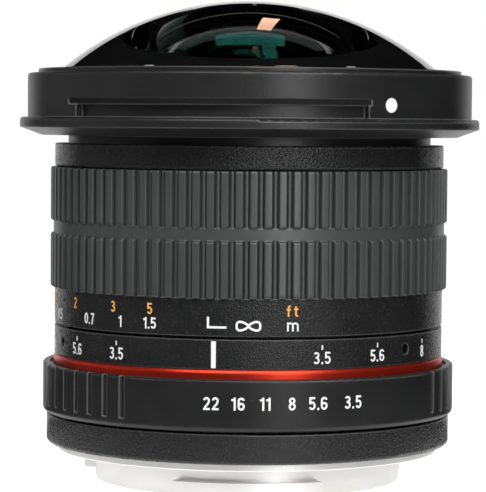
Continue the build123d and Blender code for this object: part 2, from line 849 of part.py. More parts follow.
def front_collar():
    """Wide collar: neck, cone, flange, wall with hood bayonet slots, glass ledge and inner spigot."""
    spigot_outer = main_inner - seat_clearance
    spigot_inner = spigot_outer - spigot_wall
    ledge_z = front_glass_seat_z - collar_ledge_thickness
    glass_bore = front_glass_radius + running_clearance
    lip_bore = lip_radius + seat_clearance
    lip_seat = collar_top - lip_groove_depth
    with BuildPart() as piece:
        turned(
            (spigot_inner, main_top - spigot_depth), (spigot_outer, main_top - spigot_depth),
            (spigot_outer, main_top), (neck_radius, main_top), (neck_radius, collar_z),
            (collar_cone_radius, collar_z, edge_break), (collar_flange_radius, flange_z, edge_break),
            (collar_flange_radius, flange_top, flange_round), (collar_radius, flange_top),
            (collar_radius, collar_top, collar_top_round), (lip_bore, collar_top), (lip_bore, lip_seat),
            (glass_bore, lip_seat), (glass_bore, front_glass_seat_z),
            (collar_ledge_radius, front_glass_seat_z), (collar_ledge_radius, ledge_z),
            (collar_inner_radius, ledge_z), (collar_inner_radius, collar_z + collar_floor),
            (spigot_inner, collar_z + collar_floor),
        )
        for slot in range(hood_slot_count):
            slot_turn = slot * 360 / hood_slot_count
            band(collar_radius - hood_slot_depth, collar_radius + overrun, flange_top,
                 flange_top + hood_slot_height, start=slot_turn + hood_slot_turn - hood_slot_span / 2,
                 span=hood_slot_span, mode=Mode.SUBTRACT)
            turned(
                (collar_radius - hood_bevel_depth, flange_top + hood_slot_height),
                (collar_radius + overrun, flange_top + hood_slot_height),
                (collar_radius + overrun, flange_top + hood_bevel_height),
                (collar_radius, flange_top + hood_bevel_height),
                start=slot_turn + hood_bevel_turn - hood_bevel_span / 2, span=hood_bevel_span,
                mode=Mode.SUBTRACT,
            )
        radial_bar(hood_dot_turn, flange_top + hood_dot_rise, hood_dot_radius,
                   collar_radius - hood_dot_depth, collar_radius + overrun, Mode.SUBTRACT)
    finish(piece, "front_collar")


def hood_dot():
    """White dot inlay that a hood is lined up with, flush with the collar."""
    with BuildPart() as piece:
        radial_bar(hood_dot_turn, flange_top + hood_dot_rise, hood_dot_radius,
                   collar_radius - hood_dot_depth, collar_radius + overrun)
        band(collar_radius, collar_radius + 2 * overrun, flange_top, collar_top, mode=Mode.SUBTRACT)
    finish(piece, "hood_dot")


def lip_ring():
    """Threaded lip ring that holds the front element by its ground step."""
    low = collar_top - lip_groove_depth
    glass_bore = front_glass_radius + running_clearance
    underside = front_step_z + glass_clearance
    with BuildPart() as piece:
        turned(
            (dome_rim_radius + seat_clearance, underside),
            (dome_rim_radius + seat_clearance, lip_top), (lip_radius, lip_top, edge_break),
            (lip_radius, low), (glass_bore, low), (glass_bore, underside),
        )
    finish(piece, "lip_ring")


# Front cell

def front_cell():
    """Cell that carries the second element and the front doublet, on the main barrel's ledge."""
    tube_bore = second_glass_radius + running_clearance
    tube_outer = tube_bore + front_cell_wall
    doublet_bore = front_doublet_radius + seat_clearance
    stop_bore = front_doublet_radius - front_ring_width
    stop_z = surface_height(front_doublet_surfaces[-1], stop_bore) - glass_clearance
    bore_top = front_doublet_surfaces[0][0] + front_cell_bore_gap
    flange_outer = main_inner - seat_clearance
    with BuildPart() as piece:
        turned(
            (stop_bore, front_cell_z), (flange_outer, front_cell_z),
            (flange_outer, front_cell_z + front_cell_flange), (tube_outer, front_cell_z + front_cell_flange),
            (tube_outer, second_ring_top), (tube_bore, second_ring_top), (tube_bore, second_glass_seat_z),
            (second_glass_mouth + overrun, second_glass_seat_z), (doublet_bore, bore_top),
            (doublet_bore, stop_z), (stop_bore, stop_z),
        )
        upright(screw_shank + seat_clearance, front_cell_z - overrun,
                front_cell_z + front_cell_flange + overrun, front_screw_places, Mode.SUBTRACT)
    finish(piece, "front_cell")


def front_cell_screws():
    """Three screws that hold the front cell down on the ledge."""
    flange_top_z = front_cell_z + front_cell_flange
    screws("front_cell_screws", front_screw_places, screw_shank, screw_head, flange_top_z,
           flange_top_z + screw_head_height, iris_top)


def second_element_ring():
    """Threaded ring that holds the second element."""
    with BuildPart() as piece:
        band(second_ring_inner, second_glass_radius + seat_clearance, second_ring_z, second_ring_top)
    finish(piece, "second_element_ring")


def front_doublet_ring():
    """Threaded ring that holds the front doublet."""
    inner = front_doublet_radius - front_ring_width
    low = surface_height(front_doublet_surfaces[0], inner) + glass_clearance
    with BuildPart() as piece:
        band(inner, front_doublet_radius, low, low + retainer_height)
    finish(piece, "front_doublet_ring")


# Iris

def blade_angle(opening):
    """Turn of a blade about its pivot, from open, for an opening from 0 (stopped down) to 1 (open)."""
    return blade_swing * (1 - opening)


def cam_point(opening):
    """Place of the first blade's pin as the drive ring sees it, in the ring's own rest frame."""
    pivot = Vector(blade_pivot_circle, 0)
    pin_open = Vector(blade_pivot_circle, 0).rotate(Axis.Z, blade_pin_turn)
    pin = pivot + (pin_open - pivot).rotate(Axis.Z, blade_angle(opening))
    return pin.rotate(Axis.Z, aperture_travel * opening)


def iris_housing():
    """Fixed iris plate with blade pivot holes, a rim round the blades and a flange to the barrel."""
    rim_outer = iris_cavity_radius + iris_rim_wall
    half_tab = drive_tab_span / 2 + housing_notch_margin
    pivots = [Vector(blade_pivot_circle, 0).rotate(Axis.Z, 360 * blade / blade_count)
              for blade in range(blade_count)]
    with BuildPart() as piece:
        turned(
            (iris_opening, iris_plate_z), (iris_cavity_radius, iris_plate_z),
            (iris_cavity_radius, iris_rim_z), (rim_outer, iris_rim_z), (rim_outer, iris_plate_z),
            (main_inner - seat_clearance, iris_plate_z),
            (main_inner - seat_clearance, iris_top), (iris_opening, iris_top),
        )
        band(
            iris_cavity_radius - overrun, rim_outer + overrun, iris_rim_z - overrun,
            drive_ring_top + turning_gap, start=link_turn - aperture_travel - half_tab,
            span=aperture_travel + 2 * half_tab, mode=Mode.SUBTRACT,
        )
        upright(blade_pin_radius + running_clearance, iris_plate_z - overrun, iris_top + overrun,
                [(pivot.X, pivot.Y) for pivot in pivots], Mode.SUBTRACT)
        upright(screw_shank + seat_clearance, iris_plate_z - overrun, iris_top + overrun,
                iris_screw_places, Mode.SUBTRACT)
    finish(piece, "iris_housing")


def iris_blade(blade):
    """Thin curved blade with its pivot pin above and its cam pin below, stopped down as at rest."""
    pivot = Vector(blade_pivot_circle, 0)
    pin = pivot.rotate(Axis.Z, blade_pin_turn)
    top = blade_top - blade * blade_pitch
    low = top - blade_thickness
    with BuildPart() as piece:
        with BuildSketch(Plane.XY.offset(low)) as outline:
            with BuildLine():
                inner_edge = CenterArc((0, 0), blade_inner_radius, 0, blade_sweep)
                outer_edge = CenterArc((0, 0), blade_outer_radius, 0, blade_sweep)
                Line(inner_edge @ 0, outer_edge @ 0)
                Line(inner_edge @ 1, outer_edge @ 1)
            make_face()
            with Locations((pivot.X, pivot.Y), (pin.X, pin.Y)):
                Circle(blade_tab_radius)
            with Locations((pivot + pin) / 2):
                Rectangle((pin - pivot).length, 2 * blade_tab_radius,
                          rotation=90 + blade_pin_turn / 2)
            with Locations((pivot.X - blade_stub_offset, 0)):
                Circle(blade_tab_radius)
        extrude(outline.sketch, amount=blade_thickness)
        upright(blade_pin_radius, low, blade_top + blade_pin_reach, [(pivot.X, pivot.Y)])
        upright(blade_pin_radius, drive_ring_z + turning_gap, top, [(pin.X, pin.Y)])
    closed = piece.part.rotate(Axis((pivot.X, pivot.Y, 0), (0, 0, 1)), blade_swing)
    with BuildPart() as placed:
        add(closed.rotate(Axis.Z, 360 * blade / blade_count))
    finish(placed, f"iris_blade_{blade + 1}")


def iris_drive_ring():
    """Ring with a cam slot for each blade and a forked tab that the link's arm drives."""
    arm_low = link_arm_radius - seat_clearance
    arm_high = link_arm_radius + link_arm_thickness + seat_clearance
    arm_half = link_arm_span / 2 + degrees(seat_clearance / link_arm_radius)
    with BuildPart() as piece:
        band(drive_ring_inner, drive_ring_outer, drive_ring_z, drive_ring_top)
        band(drive_ring_outer - seat_clearance, drive_tab_reach, drive_ring_z, drive_ring_top,
             start=link_turn - drive_tab_span / 2, span=drive_tab_span)
        band(arm_low, arm_high, drive_ring_z - overrun, drive_ring_top + overrun,
             start=link_turn - arm_half, span=2 * arm_half, mode=Mode.SUBTRACT)
        for blade in range(blade_count):
            ends = [cam_point(opening).rotate(Axis.Z, 360 * blade / blade_count) for opening in (0, 0.5, 1)]
            with BuildSketch(Plane.XY.offset(drive_ring_z - overrun)) as slot:
                SlotArc(ThreePointArc(*ends, mode=Mode.PRIVATE), 2 * (blade_pin_radius + running_clearance))
            extrude(slot.sketch, amount=drive_ring_thickness + 2 * overrun, mode=Mode.SUBTRACT)
    finish(piece, "iris_drive_ring")


def iris_cover():
    """Thin ring that closes the iris housing below the drive ring."""
    with BuildPart() as piece:
        band(drive_ring_inner, iris_cavity_radius + iris_rim_wall,
             iris_rim_z - iris_cover_thickness, iris_rim_z)
    finish(piece, "iris_cover")


def iris_screws():
    """Three screws that hold the iris housing up under the ledge."""
    screws("iris_screws", iris_screw_places, screw_shank, screw_head,
           iris_plate_z - screw_head_height, iris_plate_z, front_cell_z)


# Focus ring

def focus_ring():
    """Ring with the distance scale's band, the grip's seat, two helical cam grooves and a stop groove."""
    top = grip_top - focus_ring_top_drop
    stop_half = degrees(asin((stop_pin_radius + running_clearance) / main_tube_radius))
    groove_height = 2 * (stop_pin_radius + running_clearance)
    with BuildPart() as piece:
        turned(
            (focus_bore, focus_z), (scale_band_radius, focus_z, edge_break),
            (scale_band_radius, grip_z), (grip_seat_radius, grip_z), (grip_seat_radius, top),
            (focus_bore, top),
        )
        band(
            focus_bore - overrun, cam_groove_radius, stop_pin_z - groove_height / 2,
            stop_pin_z + groove_height / 2, start=stop_pin_turn - focus_near_turn - stop_half,
            span=focus_near_turn + focus_far_turn + 2 * stop_half, mode=Mode.SUBTRACT,
        )
        for turn in follower_turns:
            cam_groove(turn)
    finish(piece, "focus_ring")


def cam_groove(turn):
    """Helical groove: the fixed follower stays at its turn while the ring carries the groove past it."""
    margin = degrees((follower_radius + running_clearance) / main_tube_radius)
    span = focus_near_turn + focus_far_turn + 2 * margin
    pitch = 360 * lift_per_degree
    first_turn = turn + focus_far_turn + margin
    low = follower_z - (focus_far_turn + margin) * lift_per_degree
    groove_radius = (focus_bore - overrun + cam_groove_radius) / 2
    depth = cam_groove_radius - focus_bore + overrun
    spine = Helix(pitch, span * lift_per_degree, groove_radius, lefthand=True, mode=Mode.PRIVATE)
    spine = Pos(0, 0, low) * Rot(0, 0, first_turn - 90) * spine
    start = section_plane(first_turn)
    with BuildSketch(start) as profile:
        with Locations((groove_radius, low)):
            Rectangle(depth, 2 * (follower_radius + seat_clearance))
    sweep(profile.sketch, path=spine, is_frenet=True, mode=Mode.SUBTRACT)


def rubber_grip():
    """Grip sleeve: two bands of raised bars, a plain band between them and a thin edge at each end."""
    inner = grip_seat_radius + seat_clearance
    middle = (grip_z + grip_top) / 2
    low_bars = grip_z + grip_edge
    band_height = (grip_height - plain_band_height) / 2 - grip_edge
    bar_depth = grip_radius - inner
    with BuildPart() as piece:
        band(inner, rib_floor_radius, grip_z, grip_top)
        band(inner, plain_band_radius, middle - plain_band_height / 2, middle + plain_band_height / 2)
        band(inner, plain_band_radius, grip_z, low_bars)
        band(inner, plain_band_radius, grip_top - grip_edge, grip_top)
        for low in (low_bars, middle + plain_band_height / 2):
            with BuildSketch(Plane.XY.offset(low)) as bars:
                Circle(grip_radius)
                with PolarLocations(rib_floor_radius + bar_depth / 2, rib_count):
                    Rectangle(bar_depth, rib_pitch - rib_width, mode=Mode.SUBTRACT)
                Circle(rib_floor_radius)
                Circle(inner, mode=Mode.SUBTRACT)
            extrude(bars.sketch, amount=band_height)
    finish(piece, "rubber_grip")


# Focusing cell

def focus_cell():
    """Sliding cell: bearing sleeve, windowed web and the long tube that holds the rear group."""
    sleeve_outer = main_inner - running_clearance
    sleeve_inner = sleeve_outer - cell_sleeve_wall
    sleeve_top = cell_sleeve_z + cell_sleeve_height
    web_z = cell_sleeve_z + cell_web_rise
    tube_bore = rear_glass_radius + seat_clearance
    tube_outer = tube_bore + cell_tube_wall
    stop_bore = rear_glass_radius - spacer_width
    stop_z = surface_height(fifth_surfaces[0], stop_bore) + glass_clearance
    window_side = link_arm_span / 2 + window_margin
    with BuildPart() as piece:
        turned(
            (tube_bore, cell_tube_foot), (tube_outer, cell_tube_foot), (tube_outer, web_z),
            (sleeve_inner, web_z), (sleeve_inner, cell_sleeve_z), (sleeve_outer, cell_sleeve_z),
            (sleeve_outer, sleeve_top), (sleeve_inner, sleeve_top), (sleeve_inner, web_z + cell_web),
            (tube_outer, web_z + cell_web), (tube_outer, cell_tube_top), (stop_bore, cell_tube_top),
            (stop_bore, stop_z), (tube_bore, stop_z),
        )
        band(
            link_arm_radius - window_gap, link_arm_radius + link_arm_thickness + window_gap,
            web_z - overrun, web_z + cell_web + overrun, start=link_turn - aperture_travel - window_side,
            span=aperture_travel + 2 * window_side, mode=Mode.SUBTRACT,
        )
        for turn in follower_turns:
            radial_bar(turn, follower_z, follower_radius, sleeve_inner - overrun,
                       sleeve_outer + overrun, Mode.SUBTRACT)
    finish(piece, "focus_cell")


def follower_pins():
    """Two pins that reach from the cell through the guide slots into the cam grooves."""
    inner = main_inner - running_clearance - cell_sleeve_wall
    with BuildPart() as piece:
        for turn in follower_turns:
            radial_bar(turn, follower_z, follower_radius, inner, follower_tip_radius)
    finish(piece, "follower_pins")


def cell_spacer(label, above, below):
    """Spacer ring between two elements of the rear group."""
    inner = rear_glass_radius - spacer_width
    reaches = (inner, rear_glass_radius)
    low = max(surface_height(below, reach) for reach in reaches) + glass_clearance
    high = min(surface_height(above, reach) for reach in reaches) - glass_clearance
    with BuildPart() as piece:
        band(inner, rear_glass_radius, low, high)
    finish(piece, label)


def cell_ring():
    """Threaded ring that holds the rear group in its tube."""
    inner = rear_glass_radius - spacer_width
    high = surface_height(tenth_surfaces[-1], inner) - glass_clearance
    with BuildPart() as piece:
        band(inner, rear_glass_radius, high - retainer_height, high)
    finish(piece, "cell_ring")


os.makedirs("parts", exist_ok=True)

mount_plate()
mount_screws()
rear_baffle()
base_ring()
rear_barrel()
aperture_ring()
link_bracket()
link_screw()
click_ball()
click_spring()
index_ring()
index_line()
red_ring()
grub_screws()
main_barrel()
barrel_screws()
focus_stop_pin()
upper_barrel()
front_collar()
hood_dot()
lip_ring()
front_element()
front_cell()
front_cell_screws()
second_element()
second_element_ring()
cemented(("third_element", "fourth_element"), front_doublet_radius, front_doublet_surfaces)
front_doublet_ring()
iris_housing()
for number in range(blade_count):
    iris_blade(number)
iris_drive_ring()
iris_cover()
iris_screws()
focus_ring()
rubber_grip()
focus_cell()
follower_pins()
cemented(("fifth_element",), rear_glass_radius, fifth_surfaces)
cemented(("sixth_element", "seventh_element"), rear_glass_radius, middle_doublet_surfaces)
cemented(("eighth_element", "ninth_element"), rear_glass_radius, rear_doublet_surfaces)
cemented(("tenth_element",), rear_glass_radius, tenth_surfaces)
cell_spacer("cell_spacer_1", fifth_surfaces[-1], middle_doublet_surfaces[0])
cell_spacer("cell_spacer_2", middle_doublet_surfaces[-1], rear_doublet_surfaces[0])
cell_spacer("cell_spacer_3", rear_doublet_surfaces[-1], tenth_surfaces[0])
cell_ring()
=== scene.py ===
"""Fisheye lens: the finishes, the finer pieces and the photo stage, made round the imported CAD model.

Lengths are metres in the row frame: the lens stands on its mount at z = 0, and the side that faces the
camera looks along -Y. A turn is measured round the lens axis from that side, positive to the right."""

import json
import math

import bpy
import numpy as np
from bpy.props import FloatProperty, FloatVectorProperty, IntProperty, PointerProperty
from mathutils import Matrix, Vector


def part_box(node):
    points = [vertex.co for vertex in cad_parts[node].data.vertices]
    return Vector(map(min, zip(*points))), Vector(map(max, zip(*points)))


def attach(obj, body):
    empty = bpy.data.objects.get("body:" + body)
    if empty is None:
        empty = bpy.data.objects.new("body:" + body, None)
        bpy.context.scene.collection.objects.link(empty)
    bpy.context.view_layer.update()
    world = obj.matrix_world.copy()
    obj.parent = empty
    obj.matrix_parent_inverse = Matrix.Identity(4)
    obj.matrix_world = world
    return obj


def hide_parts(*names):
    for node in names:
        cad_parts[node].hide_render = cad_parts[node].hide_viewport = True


bl_info = {
    "name": "Fisheye lens",
    "version": (1, 0, 0),
    "blender": (4, 5, 0),
    "location": "3D View > Sidebar > Lens",
    "description": "Finishes, rubber grip, scales, glass and photo stage of a fisheye lens",
    "category": "Object",
}

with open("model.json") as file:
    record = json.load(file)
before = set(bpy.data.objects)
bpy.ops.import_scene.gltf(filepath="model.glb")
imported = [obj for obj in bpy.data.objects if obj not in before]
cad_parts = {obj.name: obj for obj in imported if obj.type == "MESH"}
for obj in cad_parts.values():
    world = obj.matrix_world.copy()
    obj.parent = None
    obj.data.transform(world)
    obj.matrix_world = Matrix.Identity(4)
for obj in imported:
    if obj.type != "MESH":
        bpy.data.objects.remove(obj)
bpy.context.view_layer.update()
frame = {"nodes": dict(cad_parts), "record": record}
MM = 0.001


def length(name, description, millimetres):
    """A size that a user may change, kept in metres."""
    return FloatProperty(
        name=name, description=description, default=millimetres * MM, precision=5,
        unit="LENGTH", subtype="DISTANCE",
    )


def colour(name, description, red, green, blue):
    """A colour that a user may change."""
    return FloatVectorProperty(
        name=name, description=description, default=(red, green, blue, 1.0), size=4, min=0, max=1,
        subtype="COLOR",
    )


def turn(name, description, degrees):
    """An angle round the lens axis or of the camera."""
    return FloatProperty(
        name=name, description=description, default=math.radians(degrees), unit="ROTATION", subtype="ANGLE"
    )


class LensSizes(bpy.types.PropertyGroup):
    """Sizes of the pieces that are made here."""

    rib_count: IntProperty(name="Ribs", description="Ribs round the rubber grip", default=91, min=12)
    rib_width: length("Rib width", "Width of a rib between its two grooves", 1.28)
    rib_edge: length("Rib edge", "Width over which a rib falls to the floor between ribs", 0.3)
    rib_stand: length("Rib stand", "How far a rib stands out from the floor between ribs", 0.5)
    rib_end: length("Rib end", "Length over which a rib rounds off at its ends", 0.42)
    plain_low: length("Plain band foot", "Height where the lower ribs end", 40.2)
    plain_high: length("Plain band top", "Height where the upper ribs start", 41.9)
    plain_stand: length("Plain band stand", "How far the plain band stands out from the ribs' floor", 0.04)
    paint: length("Paint thickness", "Thickness of numbers and marks", 0.03)
    aperture_number: length("Aperture number height", "Height of a number on the aperture ring", 2.0)
    aperture_number_foot: length("Aperture number foot", "Height at which the aperture numbers stand", 14.5)
    focus_number: length("Distance number height", "Height of a number on the focus ring", 1.76)
    feet_foot: length("Feet row", "Height at which the numbers in feet stand", 28.62)
    metre_foot: length("Metre row", "Height at which the numbers in metres stand", 26.4)
    mark_line: length("Mark line", "Width of the lines of the far marks", 0.33)
    endless_width: length("Endless mark width", "Half the width of the far mark's loops", 1.8)
    endless_height: length("Endless mark height", "Half the height of the far mark's loops", 0.66)
    depth_number: length("Depth number height", "Height of a depth of field number", 1.9)
    depth_foot: length("Depth number foot", "Height at which the depth of field numbers stand", 21.3)
    glass_edge: length("Glass edge", "Height at which the dome meets the lip", 66.84)


class LensColours(bpy.types.PropertyGroup):
    """Colours of the finishes."""

    black: colour("Black paint", "Satin black of the barrel", 0.0085, 0.009, 0.0088)
    rubber: colour("Rubber", "Grey black of the rubber grip", 0.036, 0.043, 0.0405)
    # painted shade: the colour given to the rubber in the grooves beside the ribs, standing in for their
    # shadow
    groove_shade: colour("Groove", "Colour of the grooves in the rubber", 0.006, 0.007, 0.007)
    red: colour("Red ring", "Anodised red of the trim ring", 0.72, 0.045, 0.02)
    white: colour("White paint", "White of the marks and numbers", 0.86, 0.87, 0.86)
    orange: colour("Orange paint", "Orange of the numbers in feet", 0.83, 0.39, 0.085)
    silver: colour("Mount metal", "Plated metal of the mount", 0.86, 0.85, 0.83)
    steel: colour("Steel", "Bright steel of the screws", 0.62, 0.62, 0.61)
    inner: colour("Inner black", "Matte black inside the lens", 0.009, 0.009, 0.009)
    coating: colour("Coating", "Tint of the reflection on the front glass", 0.95, 0.62, 0.42)
    inner_coating: colour("Inner coating", "Tint of the reflection on the inner glasses", 0.06, 0.5, 0.4)
    front_glass: colour("Front glass", "Slightly dark glass of the dome", 0.42, 0.44, 0.43)
    inner_glass: colour("Inner glass", "Clear glass of the inner lenses", 0.97, 0.99, 0.98)


class StageSizes(bpy.types.PropertyGroup):
    """Where the camera stands and how strong the light is."""

    distance: length("Distance", "From the lens axis to the camera", 418.0)
    height: length("Height", "Height of the camera", 58.3)
    tilt: turn("Tilt", "How far the camera looks down", 2.8)
    roll: turn("Roll", "How far the camera is rolled", 0.45)
    focal: FloatProperty(name="Focal length", description="Camera focal length, millimetres", default=186.44)
    shift: FloatProperty(name="Shift", description="Sideways shift of the picture", default=-0.0116)
    ambient: FloatProperty(
        name="Ambient", description="Strength of the light from all round", default=0.35, min=0
    )


class Shade:
    """One value on its way through a finish. A sum of values adds the Math nodes that work it out."""

    def __init__(self, finish, socket):
        self.finish = finish
        self.socket = socket

    def worked(self, operation, first, second):
        return self.finish.node("ShaderNodeMath", {"operation": operation}, {0: first, 1: second})

    def __add__(self, other):
        return self.worked("ADD", self, other)

    def __sub__(self, other):
        return self.worked("SUBTRACT", self, other)

    def __rsub__(self, other):
        return self.worked("SUBTRACT", other, self)

    def __mul__(self, other):
        return self.worked("MULTIPLY", self, other)

    def __pow__(self, other):
        return self.worked("POWER", self, other)

    def below(self, limit):
        return self.worked("LESS_THAN", self, limit)

    def larger(self, other):
        return self.worked("MAXIMUM", self, other)

    def smaller(self, other):
        return self.worked("MINIMUM", self, other)


class Finish:
    """A material, or the world, while it is mixed, with the one method that adds its nodes."""

    def __init__(self, name, world=False):
        self.made = (bpy.data.worlds if world else bpy.data.materials).new(name)
        self.made.use_nodes = True
        self.tree = self.made.node_tree
        self.tree.nodes.clear()

    def node(self, kind, settings=None, values=None, output=0):
        """Adds a node: its settings first, then the values or links of its sockets. Gives one output."""
        made = self.tree.nodes.new(kind)
        for name, value in (settings or {}).items():
            setattr(made, name, value)
        for socket, value in (values or {}).items():
            if isinstance(value, Shade):
                self.tree.links.new(value.socket, made.inputs[socket])
            else:
                made.inputs[socket].default_value = value
        return None if output is None else Shade(self, made.outputs[output])

    def place(self):
        return self.node("ShaderNodeTexCoord", output="Object")

    def noise(self, place, scale, detail=2.0, roughness=0.5):
        values = {"Vector": place, "Scale": scale, "Detail": detail, "Roughness": roughness}
        return self.node("ShaderNodeTexNoise", {}, values)

    def blend(self, share, first, second):
        return self.node("ShaderNodeMix", {"data_type": "RGBA"}, {0: share, 6: first, 7: second}, output=2)

    def bump(self, height, depth, strength=1.0, normal=None):
        values = {"Height": height, "Distance": depth, "Strength": strength}
        if normal:
            values["Normal"] = normal
        return self.node("ShaderNodeBump", {}, values)

    def rounded_normal(self, radius):
        """The direction of the surface as if its edges were rounded to the radius."""
        return self.node("ShaderNodeBevel", {"samples": 6}, {"Radius": radius})

    def painted_edge_highlight(self, rounded):
        """How far the rounded direction turns from the surface's own: 1 less the cosine between them. It is
        the mask of a painted highlight along edges.
        """
        plain = self.node("ShaderNodeNewGeometry", output="Normal")
        settings = {"operation": "DOT_PRODUCT"}
        return 1 - self.node("ShaderNodeVectorMath", settings, {0: rounded, 1: plain}, output="Value")

    def surface(self, values):
        return self.out(self.node("ShaderNodeBsdfPrincipled", {}, values))

    def out(self, shader, kind="ShaderNodeOutputMaterial"):
        self.node(kind, {}, {"Surface": shader}, output=None)
        return self.made


def pale(shade, share):
    """The colour with a share of white mixed in, its alpha 1."""
    return tuple(channel + (1 - channel) * share for channel in shade[:3]) + (1.0,)


def dimmed(shade, share):
    """The colour with a share of its light left, its alpha 1."""
    return tuple(channel * share for channel in shade[:3]) + (1.0,)


def dotted(finish, place, scale, share, size):
    """1 in dots of the given size, each in the middle of a cell, in a share of a pattern's cells; else 0."""
    values = {"Vector": place, "Scale": scale}
    away = finish.node("ShaderNodeTexVoronoi", {}, values)
    centre = finish.node("ShaderNodeTexVoronoi", {}, values, output="Position")
    chance = finish.node("ShaderNodeTexWhiteNoise", {}, {"Vector": centre})
    return away.below(size) * chance.below(share)


def satin_black(name, black, roughness, depth=0.02 * MM, pits=0.0, dust=0.02):
    """Satin black paint on metal: fine grain in the gloss, small pits, slow unevenness, a few pale specks and
    rounded edges, with a painted highlight that makes the colour paler along them."""
    finish = Finish(name)
    place = finish.place()
    fine = finish.noise(place, 3600.0, 2.0, 0.6)
    slow = finish.noise(place, 160.0, 2.0)
    specks = dotted(finish, place, 1300.0, dust, 0.1)
    pit = dotted(finish, place, 1400.0, 0.3, 0.32)
    rounded = finish.rounded_normal(0.3 * MM)
    # painted highlight: the colour is made paler along the rounded edges, where they would catch the light
    edge = (finish.painted_edge_highlight(rounded) * 12.0).smaller(1.0)
    tone = finish.blend(edge, finish.blend(slow, black, pale(black, 0.008)), pale(black, 0.12))
    return finish.surface({
        "Base Color": finish.blend(specks * 0.35, tone, pale(black, 0.3)),
        "Roughness": fine * 0.12 + slow * 0.06 + pit * (pits * 0.3) + (roughness - 0.09),
        "Specular IOR Level": 0.4,
        "Normal": finish.bump(fine - pit * pits, depth, 1.0, rounded),
    })


def grip_rubber(name, rubber, groove_shade):
    """Moulded rubber: matte, faintly mottled, with painted shade in the grooves beside the ribs."""
    finish = Finish(name)
    place = finish.place()
    crease = finish.node("ShaderNodeAttribute", {"attribute_name": "groove_shade"}, output="Fac")
    fine = finish.noise(place, 3000.0, 3.0, 0.65)
    slow = finish.noise(place, 220.0, 3.0)
    tone = finish.blend(slow, rubber, pale(rubber, 0.012))
    return finish.surface({
        # painted shade: the colour turns to the groove colour beside the ribs, following the point attribute
        "Base Color": finish.blend(crease, tone, groove_shade),
        "Roughness": fine * 0.1 + slow * 0.06 + crease * 0.4 + 0.31,
        "Specular IOR Level": 0.7,
        "Normal": finish.bump(fine, 0.03 * MM, 0.5),
    })


def anodised(name, tint):
    """Anodised metal: its dye tints the gloss, with a fine grain, a slow unevenness and rounded edges."""
    finish = Finish(name)
    place = finish.place()
    slow = finish.noise(place, 300.0, 3.0)
    grain = finish.noise(place, 2500.0, 2.0)
    return finish.surface({
        "Base Color": finish.blend(slow, tint, dimmed(tint, 0.85)),
        "Metallic": 0.85,
        "Roughness": slow * 0.1 + 0.3,
        "Specular IOR Level": 0.35,
        "Normal": finish.bump(grain, 0.01 * MM, 0.3, finish.rounded_normal(0.5 * MM)),
    })


def number_paint(name, tint):
    """Paint of the numbers and marks: flat, with slight wear at a fine scale."""
    finish = Finish(name)
    place = finish.place()
    worn = finish.noise(place, 5000.0, 2.0)
    return finish.surface({
        "Base Color": finish.blend(worn, tint, dimmed(tint, 0.8)),
        "Roughness": worn * 0.1 + 0.5,
        "Specular IOR Level": 0.3,
    })


def turned_metal(name, metal, roughness):
    """Metal turned on a lathe: fine rings that depend only on the distance from the axis and the height,
    in gloss and relief. The distance is (x^2 + y^2)^0.5."""
    finish = Finish(name)
    place = finish.place()
    across, along, up = (
        finish.node("ShaderNodeSeparateXYZ", {}, {"Vector": place}, output=axis) for axis in ("X", "Y", "Z")
    )
    reach = (across * across + along * along) ** 0.5
    ringed = finish.node("ShaderNodeCombineXYZ", {}, {"X": reach, "Y": up})
    marks = finish.noise(ringed, 5400.0, 3.0, 0.7)
    slow = finish.noise(place, 120.0, 2.0)
    return finish.surface({
        "Base Color": finish.blend(slow, metal, dimmed(metal, 0.82)),
        "Metallic": 1.0,
        "Roughness": marks * 0.12 + slow * 0.08 + (roughness - 0.1),
        "Normal": finish.bump(marks, 0.01 * MM, 0.35),
    })


def inner_matte(name, black, roughness=0.7):
    """Matte black inside the lens: rough, a little uneven."""
    finish = Finish(name)
    place = finish.place()
    fine = finish.noise(place, 2600.0, 3.0)
    return finish.surface({
        "Base Color": finish.blend(fine, black, pale(black, 0.01)),
        "Roughness": fine * 0.15 + (roughness - 0.08),
        "Specular IOR Level": 0.35,
        "Normal": finish.bump(fine, 0.02 * MM, 0.5),
    })


def coated_glass(name, coating, glass, level):
    """Glass with a thin coating that tints its reflection. The faintest haze breaks the gloss."""
    finish = Finish(name)
    haze = finish.noise(finish.place(), 90.0, 2.0)
    return finish.surface({
        "Base Color": glass,
        "Roughness": haze * 0.012,
        "IOR": 1.52,
        "Transmission Weight": 1.0,
        "Specular IOR Level": level,
        "Specular Tint": coating,
    })


def face_starts(sizes):
    """Where each face's corners start in the list of corners."""
    return np.concatenate([[0], np.cumsum(sizes)[:-1]]).astype(np.int64)


def outward(points, corners, sizes):
    """The corners with each face turned round if the closed shape's volume comes out negative.

    The volume is a sixth of the sum, over each face's fan of triangles, of first . (second x third)."""
    starts = face_starts(sizes)
    following = np.arange(len(corners)) + 1
    ends = starts + sizes - 1
    following[ends] = starts
    first = points[np.repeat(corners[starts], sizes)]
    volume = np.einsum("ij,ij->i", first, np.cross(points[corners], points[corners[following]])).sum()
    if volume >= 0:
        return corners
    place = np.arange(len(corners))
    return corners[np.repeat(starts + ends, sizes) - place]


def joined(shapes):
    """Several shapes (points, corners, sizes) as one."""
    counts = np.cumsum([0] + [len(points) for points, _, _ in shapes[:-1]])
    points = np.concatenate([shape[0] for shape in shapes])
    corners = np.concatenate([shape[1] + start for shape, start in zip(shapes, counts)])
    return points, corners, np.concatenate([shape[2] for shape in shapes])


